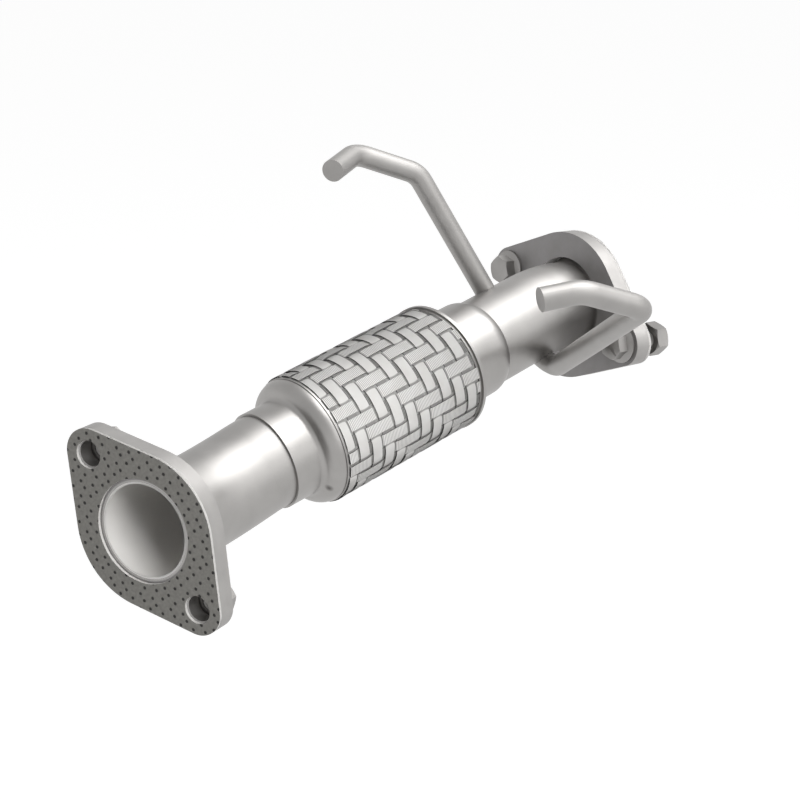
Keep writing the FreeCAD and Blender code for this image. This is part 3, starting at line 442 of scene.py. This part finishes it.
# Painted shade: the grey of a band where it dips under another.
DIP_SHADE_COLOURS = ("#A1A09E", "#A9A8A6")
DIP_SHADE_STOPS = (0.05, 0.46, 0.6)
WEAR_COLOURS = ("#F6F5F4", "#FFFFFF")
# Painted shade: the dark of the bands' side walls and slopes.
SIDE_WALL_SHADE = "#7E7D7C"
# Painted shade: the dark of the grooves between the ribs.
GROOVE_SHADE_STOPS = [(0.1, "#BEBEBE"), (0.5, "#FFFFFF")]
BAND_CLOUD = 9.0 * MM

# A face is painted as a shaded side wall below the first of these, and as the top of a band above the
# second: how much of it looks straight out of the sleeve.
OUTWARD_SHARE = (0.3, 0.6)

# The ribs are the wires of a band side by side. Real ones are finer: they are drawn as coarse as they
# need to be to show in the render.
RIB_PITCH = 0.95 * MM
RIB_DEPTH = 0.04 * MM

# The wire's own speckle is drawn coarser than it is too.
# Painted shade: the inner wire's grey, darker than the bands' tops.
WIRE_SHADE_COLOURS = ("#A6A5A3", "#B2B1AF")
WIRE_GRAIN = 1.1 * MM


def woven_band_steel(ribbed):
    """Flat bands of fine stainless wire: pale satin on top, with painted shade where they dip under, on
    their side walls and slopes, and in the grooves between the fine ribs of the lengthwise ones.

    The wires scatter light as a dull surface does, so the bands are hardly metallic in the shader."""
    material, tree = new_material("woven_stainless_ribbed" if ribbed else "woven_stainless_plain")
    coords = add(tree, "TexCoord")
    where, outward = coords.outputs["Object"], coords.outputs["Normal"]
    axis = axis_of(FLEX)
    from_start = add(tree, "VectorMath", {"operation": "SUBTRACT", 1: FLEX.to_translation()}, {0: where})
    along = add(tree, "VectorMath", {"operation": "DOT_PRODUCT", 1: axis}, {0: from_start})
    on_axis = add(tree, "VectorMath", {"operation": "SCALE", 0: axis}, {"Scale": along})
    spoke = add(tree, "VectorMath", {"operation": "SUBTRACT"}, {0: from_start, 1: on_axis})
    radius = add(tree, "VectorMath", {"operation": "LENGTH"}, {0: spoke})
    # Painted shade: the lower a band lies, the greyer it is painted.
    height = add(tree, "MapRange", {
        "From Min": BRAID_RADIUS - BAND_DIP, "From Max": BRAID_RADIUS}, {"Value": radius})
    crest = CREST_RIBBED if ribbed else CREST_PLAIN
    depth = add(tree, "ValToRGB", links={"Fac": height}, stops=list(zip(DIP_SHADE_STOPS, (*DIP_SHADE_COLOURS, crest))))
    cloud = add(tree, "TexNoise", {"Scale": 1.0 / BAND_CLOUD, "Detail": 3.0}, {"Vector": where})
    wear = add(tree, "ValToRGB", links={"Fac": cloud}, stops=drift(WEAR_COLOURS))
    top = add(tree, "Mix", {"data_type": "RGBA", "blend_type": "MULTIPLY", FACTOR: 1.0}, {
        COLOUR_A: depth, COLOUR_B: wear})
    straight = add(tree, "VectorMath", {"operation": "NORMALIZE"}, {0: spoke})
    lean = add(tree, "VectorMath", {"operation": "DOT_PRODUCT"}, {0: straight, 1: outward})
    upright = add(tree, "MapRange", {
        "From Min": OUTWARD_SHARE[0], "From Max": OUTWARD_SHARE[1]}, {"Value": lean})
    # Painted shade on faces that don't look straight out of the sleeve.
    tint = add(tree, "Mix", {"data_type": "RGBA", COLOUR_A: SIDE_WALL_SHADE}, {
        FACTOR: upright, COLOUR_B: top})
    links = {"Base Color": tint}
    if ribbed:
        turns = add(tree, "Math", {"operation": "MULTIPLY", 1: 2 * math.pi / RIB_PITCH}, {0: along})
        wave = add(tree, "Math", {"operation": "SINE"}, {0: turns})
        groove = add(tree, "MapRange", {"From Min": -1.0}, {"Value": wave})
        # Painted shade in the grooves between the ribs, besides their bump.
        shade = add(tree, "ValToRGB", links={"Fac": groove}, stops=GROOVE_SHADE_STOPS)
        lined = add(tree, "Mix", {"data_type": "RGBA", "blend_type": "MULTIPLY", FACTOR: 1.0}, {
            COLOUR_A: tint, COLOUR_B: shade})
        bump = add(tree, "Bump", {"Strength": 0.9, "Distance": RIB_DEPTH}, {"Height": wave})
        links = {"Base Color": lined, "Normal": bump}
    shader = add(tree, "BsdfPrincipled", {
        "Metallic": 0.05, "Roughness": 0.7, "Specular IOR Level": 0.0}, links)
    add(tree, "OutputMaterial", links={"Surface": shader})
    return material


def shaded_wire():
    """Inner side of the weave: dull steel, painted a darker grey than the bands' tops as painted shade, and
    kept in shade by the bands above it as well.
    """
    material, tree = new_material("shaded_steel_wire")
    where = add(tree, "TexCoord").outputs["Object"]
    grain = add(tree, "TexNoise", {"Scale": 1.0 / WIRE_GRAIN, "Detail": 3.0}, {"Vector": where})
    tint = add(tree, "ValToRGB", links={"Fac": grain}, stops=drift(WIRE_SHADE_COLOURS))
    shader = add(tree, "BsdfPrincipled", {"Metallic": 0.1, "Roughness": 0.7}, {"Base Color": tint})
    add(tree, "OutputMaterial", links={"Surface": shader})
    return material


# Light, floor and background

WHITE = "#FFFFFF"
BACKDROP_COLOUR = "#FDFDFD"
FLOOR_COLOUR = "#8C8C8C"
FLOOR_GLOW = 0.95
FLOOR_RADIUS = 14.0
FLOOR_SIDES = 64
FLOOR_MIDDLE = (0.2, 0.0)
# The floor lies well below the part, so that the shadow on it is soft and faint.
FLOOR_DROP = 0.16
MIRRORED_DOME = [(0.0, WHITE), (0.2, "#EAEAEA"), (1.0, "#D8D8D8")]
ROOM_WALLS = [(0.0, WHITE), (0.3, "#C8C8C8"), (0.8, "#6C6C6C")]
ROOM_LIGHT = 0.3

# Each soft box: its name, place, width and height, watts, and whether metal mirrors it. One that metal
# doesn't mirror lights the dull surfaces instead.
LAMPS = [
    ("key_panel", (0.64, -0.85, 1.80), (2.0, 1.7), 45.0, True),
    ("low_panel", (0.35, -2.10, 0.80), (1.8, 1.4), 9.0, True),
    ("side_panel", (-0.70, -1.70, 1.12), (1.0, 0.8), 41.0, False),
]
LIT_POINT = Vector((0.17, -0.04, 0.03))


def mark_background(tree):
    """1 for rays that see the background: camera, mirror and clear rays."""
    path = add(tree, "LightPath")
    either = add(tree, "Math", {"operation": "MAXIMUM"}, {
        0: path.outputs["Is Camera Ray"], 1: path.outputs["Is Glossy Ray"]})
    return add(tree, "Math", {"operation": "MAXIMUM"}, {0: either, 1: path.outputs["Is Transmission Ray"]})


def lay_floor():
    """Matt floor that looks white to the camera, with the part's soft shadow, and plain white in metal."""
    low = cad_box[0][2] - FLOOR_DROP
    bpy.ops.mesh.primitive_circle_add(
        vertices=FLOOR_SIDES, radius=FLOOR_RADIUS, fill_type="NGON", location=(*FLOOR_MIDDLE, low))
    floor = bpy.context.object
    floor.name = "floor"
    material, tree = new_material("pale_floor")
    matt = add(tree, "BsdfDiffuse", {"Color": FLOOR_COLOUR})
    glow = add(tree, "Emission", {"Color": WHITE, "Strength": FLOOR_GLOW})
    shadowed = add(tree, "AddShader", links={0: matt, 1: glow})
    white = add(tree, "Emission", {"Color": WHITE, "Strength": 1.0})
    camera = add(tree, "LightPath").outputs["Is Camera Ray"]
    background = add(tree, "MixShader", links={0: camera, 1: white, 2: shadowed})
    seen = add(tree, "MixShader", links={0: mark_background(tree), 1: matt, 2: background})
    add(tree, "OutputMaterial", links={"Surface": seen})
    floor.data.materials.append(material)


def light_world():
    """Pale room: plain to the camera, a bright dome in metal, and walls that dim upwards as light."""
    world = bpy.data.worlds.new("studio")
    bpy.context.scene.world = world
    world.use_nodes = True
    tree = world.node_tree
    tree.nodes.clear()
    around = add(tree, "TexCoord").outputs["Generated"]
    height = add(tree, "SeparateXYZ", links={0: around}).outputs["Z"]
    walls = add(tree, "ValToRGB", links={"Fac": height}, stops=ROOM_WALLS)
    dome = add(tree, "ValToRGB", links={"Fac": height}, stops=MIRRORED_DOME)
    room = add(tree, "Background", {"Strength": ROOM_LIGHT}, {"Color": walls})
    white = add(tree, "Background", {"Strength": 1.0}, {"Color": dome})
    plain = add(tree, "Background", {"Color": BACKDROP_COLOUR, "Strength": 1.0})
    mirrored = add(tree, "MixShader", links={0: mark_background(tree), 1: room, 2: white})
    camera = add(tree, "LightPath").outputs["Is Camera Ray"]
    seen = add(tree, "MixShader", links={0: camera, 1: mirrored, 2: plain})
    add(tree, "OutputWorld", links={"Surface": seen})


def hang_lamp(name, spot, size, power, on_metal):
    """Soft box that faces the part."""
    data = bpy.data.lights.new(name, "AREA")
    data.shape = "RECTANGLE"
    data.size, data.size_y = size
    data.energy = power
    lamp = bpy.data.objects.new(name, data)
    bpy.context.scene.collection.objects.link(lamp)
    lamp.location = spot
    lamp.rotation_euler = (LIT_POINT - Vector(spot)).to_track_quat("-Z", "Y").to_euler()
    lamp.visible_glossy = on_metal
    lamp.visible_diffuse = not on_metal


# Modelling by hand

def only(piece):
    """Leaves one piece selected and active, out of edit mode."""
    if bpy.context.object and bpy.context.object.mode != "OBJECT":
        bpy.ops.object.mode_set(mode="OBJECT")
    bpy.ops.object.select_all(action="DESELECT")
    piece.select_set(True)
    bpy.context.view_layer.objects.active = piece


def edit(piece, operator, wanted=None, **how):
    """Runs one edit-mode operator on a piece, or only on the points that are wanted by their place."""
    only(piece)
    bpy.ops.object.mode_set(mode="EDIT")
    bpy.ops.mesh.select_mode(type="VERT")
    bpy.ops.mesh.select_all(action="DESELECT" if wanted else "SELECT")
    if wanted:
        bpy.ops.object.mode_set(mode="OBJECT")
        for point in piece.data.vertices:
            point.select = wanted(point.co)
        bpy.ops.object.mode_set(mode="EDIT")
    operator(**how)
    bpy.ops.object.mode_set(mode="OBJECT")


def shrink(piece, share, wanted):
    """Draws the wanted points of a piece towards its local X axis."""
    edit(piece, bpy.ops.transform.resize, wanted, value=(1.0, share, share), center_override=(0.0, 0.0, 0.0))


def cut_across(piece, frame_of_cut, along, side=1, closed=False):
    """Cuts a piece square to a frame's X axis, and drops what lies beyond the cut on that side."""
    edit(piece, bpy.ops.mesh.bisect, plane_co=frame_of_cut @ (along * ALONG),
         plane_no=side * axis_of(frame_of_cut), clear_outer=True, use_fill=closed)


def settle(piece):
    """Puts a new primitive's place, turn and size into its mesh."""
    only(piece)
    bpy.ops.object.transform_apply(location=True, rotation=True, scale=True)


def apply_modifier(piece, kind, **settings):
    only(piece)
    modifier = piece.modifiers.new(kind.lower(), kind)
    for key, value in settings.items():
        setattr(modifier, key, value)
    bpy.ops.object.modifier_apply(modifier=modifier.name)


def copy_at(piece, where):
    """Copy with its own mesh, moved by a matrix that is then applied."""
    twin = piece.copy()
    twin.data = piece.data.copy()
    bpy.context.scene.collection.objects.link(twin)
    twin.data.transform(where)
    return twin


def copies(pattern, places):
    """A copy of the pattern at every place; the pattern itself goes."""
    made = [copy_at(pattern, where) for where in places]
    bpy.data.objects.remove(pattern)
    return made


def join(pieces, name):
    only(pieces[0])
    for piece in pieces[1:]:
        piece.select_set(True)
    bpy.ops.object.join()
    joined = bpy.context.object
    joined.name = name
    joined.data.name = name
    return joined


def smooth(piece, degrees):
    only(piece)
    bpy.ops.object.shade_smooth_by_angle(angle=math.radians(degrees))


def put_on(piece, material):
    """Gives a piece of the scene its one finish and the body that it rides on."""
    piece.data.materials.clear()
    piece.data.materials.append(material)
    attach(piece, "root")


# Woven sleeve

BAND_SMOOTH = 40.0


def float_level(steps):
    """1 where a band lies on top, 0 where it lies under, 0.5 between, by steps from a float's middle."""
    away = abs((steps + REPEAT / 2) % REPEAT - REPEAT / 2)
    if math.isclose(away, 1.0, abs_tol=0.1):
        return 0.5
    return 1.0 if away < 1.0 else 0.0


def lengthwise_band():
    """One flat band along the axis, on top of two hoops and under the next two."""
    crossings = HOOP_COUNT + 2 * REPEAT
    bpy.ops.mesh.primitive_grid_add(x_subdivisions=crossings * STEPS, y_subdivisions=STRIPS, size=1.0)
    band = bpy.context.object
    band.scale = (crossings * HOOP_PITCH, BAND_WIDTH, 1.0)
    band.location = ((crossings / 2 - BAND_LEAD) * HOOP_PITCH, 0.0, BRAID_RADIUS)
    settle(band)
    for level in (0.5, 0.0):
        edit(band, bpy.ops.transform.translate,
             lambda co: float_level(co.x / HOOP_PITCH - LENGTHWISE_MIDDLE) == level,
             value=(0.0, 0.0, -BAND_DIP * (1.0 - level)))
    edit(band, bpy.ops.transform.translate, lambda co: abs(co.y) > OUTER_SHARE * BAND_WIDTH,
         value=(0.0, 0.0, -BAND_CROWN))
    return band


def hoop_band():
    """One flat band round the sleeve, on top of two lengthwise bands and under the next two.

    A ring of points is extruded along the sleeve, strip by strip."""
    bpy.ops.mesh.primitive_circle_add(vertices=ROW_COUNT * STEPS, radius=BRAID_RADIUS)
    hoop = bpy.context.object
    hoop.rotation_euler = (0.0, math.pi / 2, 0.0)
    hoop.location = (-BAND_WIDTH / 2, 0.0, 0.0)
    settle(hoop)
    strip = BAND_WIDTH / STRIPS
    for number in range(STRIPS):
        edge = number * strip - BAND_WIDTH / 2
        edit(hoop, bpy.ops.mesh.extrude_region_move, lambda co: abs(co.x - edge) < strip / 4,
             TRANSFORM_OT_translate={"value": (strip, 0.0, 0.0)})
    for level in (0.5, 0.0):
        shrink(hoop, 1.0 - BAND_DIP * (1.0 - level) / BRAID_RADIUS,
               lambda co: float_level(math.atan2(-co.y, co.z) / ROW_ANGLE - HOOP_MIDDLE) == level)
    shrink(hoop, 1.0 - BAND_CROWN / BRAID_RADIUS, lambda co: abs(co.x) > OUTER_SHARE * BAND_WIDTH)
    return hoop


def band_place(crossing, row):
    """Place of a band that starts at one hoop's place and is turned round to one lengthwise row."""
    shift = Matrix.Translation((FIRST_HOOP + crossing * HOOP_PITCH, 0.0, 0.0))
    return FLEX @ (shift @ Matrix.Rotation(WEAVE_ROLL + row * ROW_ANGLE, 4, "X"))


def weave(pattern, name, places):
    """Copies of one band at every place, cut square at both ends of the sleeve and given their thickness."""
    apply_modifier(pattern, "SUBSURF", levels=1, render_levels=1)
    layer = join(copies(pattern, places), name)
    edit(layer, bpy.ops.mesh.normals_make_consistent, inside=False)
    cut_across(layer, FLEX, SLEEVE_START, side=-1)
    cut_across(layer, OUTLET, SLEEVE_END)
    apply_modifier(layer, "SOLIDIFY", thickness=BAND_THICK, offset=-1.0)
    smooth(layer, BAND_SMOOTH)
    return layer


def sleeve_core():
    """Plain inner side of the sleeve, seen only in the small openings between the bands."""
    bpy.ops.mesh.primitive_cylinder_add(
        vertices=ROW_COUNT * STEPS, radius=CORE_RADIUS, depth=CORE_REACH, end_fill_type="NOTHING")
    core = bpy.context.object
    core.rotation_euler = (0.0, math.pi / 2, 0.0)
    core.location = (SLEEVE_START + CORE_REACH / 2, 0.0, 0.0)
    settle(core)
    core.data.transform(FLEX)
    cut_across(core, OUTLET, SLEEVE_END)
    apply_modifier(core, "SOLIDIFY", thickness=CORE_THICK, offset=-1.0)
    core.name = "sleeve_core"
    smooth(core, BAND_SMOOTH)
    return core


# Threads and fasteners

FASTENER_SMOOTH = 30.0


def screw_thread(length, closed):
    """Helical thread along local X: one tooth's outline, screwed round and cut square at both ends.

    The outline is three points, root, crest and root, and starts one pitch early for a full first turn."""
    half = THREAD_PITCH / 2
    rise = THREAD_CREST - THREAD_ROOT
    bpy.ops.mesh.primitive_plane_add(size=half)
    thread = bpy.context.object
    edit(thread, bpy.ops.mesh.delete, lambda co: co.y > 0, type="VERT")
    edit(thread, bpy.ops.transform.translate, value=(half / 2, half / 2 + THREAD_ROOT, 0.0))
    edit(thread, bpy.ops.transform.translate, lambda co: co.x > half / 2, value=(0.0, rise, 0.0))
    edit(thread, bpy.ops.mesh.extrude_vertices_move, lambda co: co.x > half / 2,
         TRANSFORM_OT_translate={"value": (half, -rise, 0.0)})
    edit(thread, bpy.ops.transform.translate, value=(-THREAD_PITCH, 0.0, 0.0))
    apply_modifier(thread, "SCREW", axis="X", angle=2 * math.pi, screw_offset=THREAD_PITCH,
                   iterations=math.ceil(length / THREAD_PITCH) + SPARE_TURNS,
                   steps=THREAD_STEPS, render_steps=THREAD_STEPS,
                   use_merge_vertices=True, merge_threshold=MERGE_DISTANCE)
    for end, side in ((0.0, -1), (length, 1)):
        edit(thread, bpy.ops.mesh.remove_doubles, threshold=MERGE_DISTANCE)
        cut_across(thread, Matrix(), end, side, closed)
    return thread


def at_both_holes(along, off_axis):
    """Places in a flange's frame, on its two bolt holes."""
    return [Matrix.Translation((along, side * off_axis, 0.0)) for side in (-1, 1)]


def bolt_shank():
    """Threaded shank of a bolt, a little tapered at its tip."""
    shank = screw_thread(SHANK_LENGTH, closed=True)
    shrink(shank, TIP_SHARE, lambda co: co.x > SHANK_LENGTH - TIP_LENGTH)
    edit(shank, bpy.ops.mesh.normals_make_consistent, inside=False)
    smooth(shank, FASTENER_SMOOTH)
    return shank


def threaded_bolts():
    """Both bolts: the heads as they are, each with a real thread in place of its plain shank."""
    heads = copy_at(node["outlet_bolts"], END.inverted())
    edit(heads, bpy.ops.mesh.remove_doubles, threshold=MERGE_DISTANCE)
    edit(heads, bpy.ops.mesh.delete, lambda co: co.x > SHANK_START + HEAD_MARGIN, type="VERT")
    shanks = copies(bolt_shank(), at_both_holes(SHANK_START, HOLE_OUTLET))
    bolts = join([heads, *shanks], "flanged_hex_bolts")
    bpy.ops.mesh.customdata_custom_splitnormals_clear()
    smooth(bolts, FASTENER_SMOOTH)
    bolts.data.transform(END)
    return bolts


def nut_threads():
    """Thread inside each inlet nut's bore, seen through the flange's holes."""
    lining = screw_thread(NUT_HEIGHT, closed=False)
    apply_modifier(lining, "SOLIDIFY", thickness=LINING_THICK, offset=1.0)
    smooth(lining, FASTENER_SMOOTH)
    places = [INLET @ hole for hole in at_both_holes(NUT_START, HOLE_INLET)]
    return join(copies(lining, places), "inlet_nut_threads")


# The making

place_camera()
light_world()
lay_floor()
for lamp in LAMPS:
    hang_lamp(*lamp)

# Drawn stainless tube: soft satin gloss. Its bore is painted paler and duller, as painted light.
tube_steel = satin_steel("satin_stainless_tube", TUBE_COLOURS, TUBE_ROUGHNESS)
bore_steel = satin_steel("satin_stainless_tube_pale_bore", TUBE_COLOURS, TUBE_ROUGHNESS, painted_light_bore)
# Pressed stainless sheet: the same colour with a little tighter gloss, and on one cap a small dark spot,
# painted shade of a dimple.
sheet_steel = satin_steel("pressed_stainless_sheet", TUBE_COLOURS, SHEET_ROUGHNESS)
dimple_shaded_steel = satin_steel("pressed_stainless_tack_mark", TUBE_COLOURS, SHEET_ROUGHNESS, dimple_shade)
# Bright drawn rod: broader and duller gloss than the tube's.
rod_steel = satin_steel("bright_drawn_rod", ROD_COLOURS, ROD_ROUGHNESS)
# Zinc-plated bolts and nuts: darker and a little uneven.
fastener_steel = satin_steel("zinc_plated_fastener", FASTENER_COLOURS, FASTENER_ROUGHNESS)

# Pieces of the CAD model by finish. The rest is plain tube steel.
FINISH = {
    "inlet_pipe": bore_steel,
    "inlet_flange": plate_steel(INLET), "outlet_flange": plate_steel(END),
    "inlet_gasket": gasket_facing("tanged_facing_inlet", INLET),
    "outlet_gasket": gasket_facing("tanged_facing_outlet", END),
    "inlet_end_cap": dimple_shaded_steel, "outlet_end_cap": sheet_steel,
    "inlet_braid_ring": sheet_steel, "outlet_braid_ring": sheet_steel,
    "upper_hanger_rod": rod_steel, "lower_hanger_rod": rod_steel,
    "outlet_nuts": fastener_steel, "inlet_nuts": fastener_steel, "outlet_bolts": fastener_steel,
}
for name, item in node.items():
    item.data.materials.clear()
    item.data.materials.append(FINISH.get(name, tube_steel))

lengthwise_places = [band_place(row % REPEAT - REPEAT, row) for row in range(ROW_COUNT)]
hoop_places = [band_place(hoop, hoop) for hoop in range(HOOP_COUNT)]
sleeve = [
    (weave(lengthwise_band(), "woven_lengthwise_bands", lengthwise_places), woven_band_steel(ribbed=True)),
    (weave(hoop_band(), "woven_hoop_bands", hoop_places), woven_band_steel(ribbed=False)),
    (sleeve_core(), shaded_wire()),
]
for piece, material in sleeve:
    put_on(piece, material)
    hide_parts("flex_braid")

bolts = threaded_bolts()
put_on(bolts, fastener_steel)
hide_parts("outlet_bolts")
put_on(nut_threads(), fastener_steel)

scene = bpy.context.scene
scene.view_settings.view_transform = "Standard"
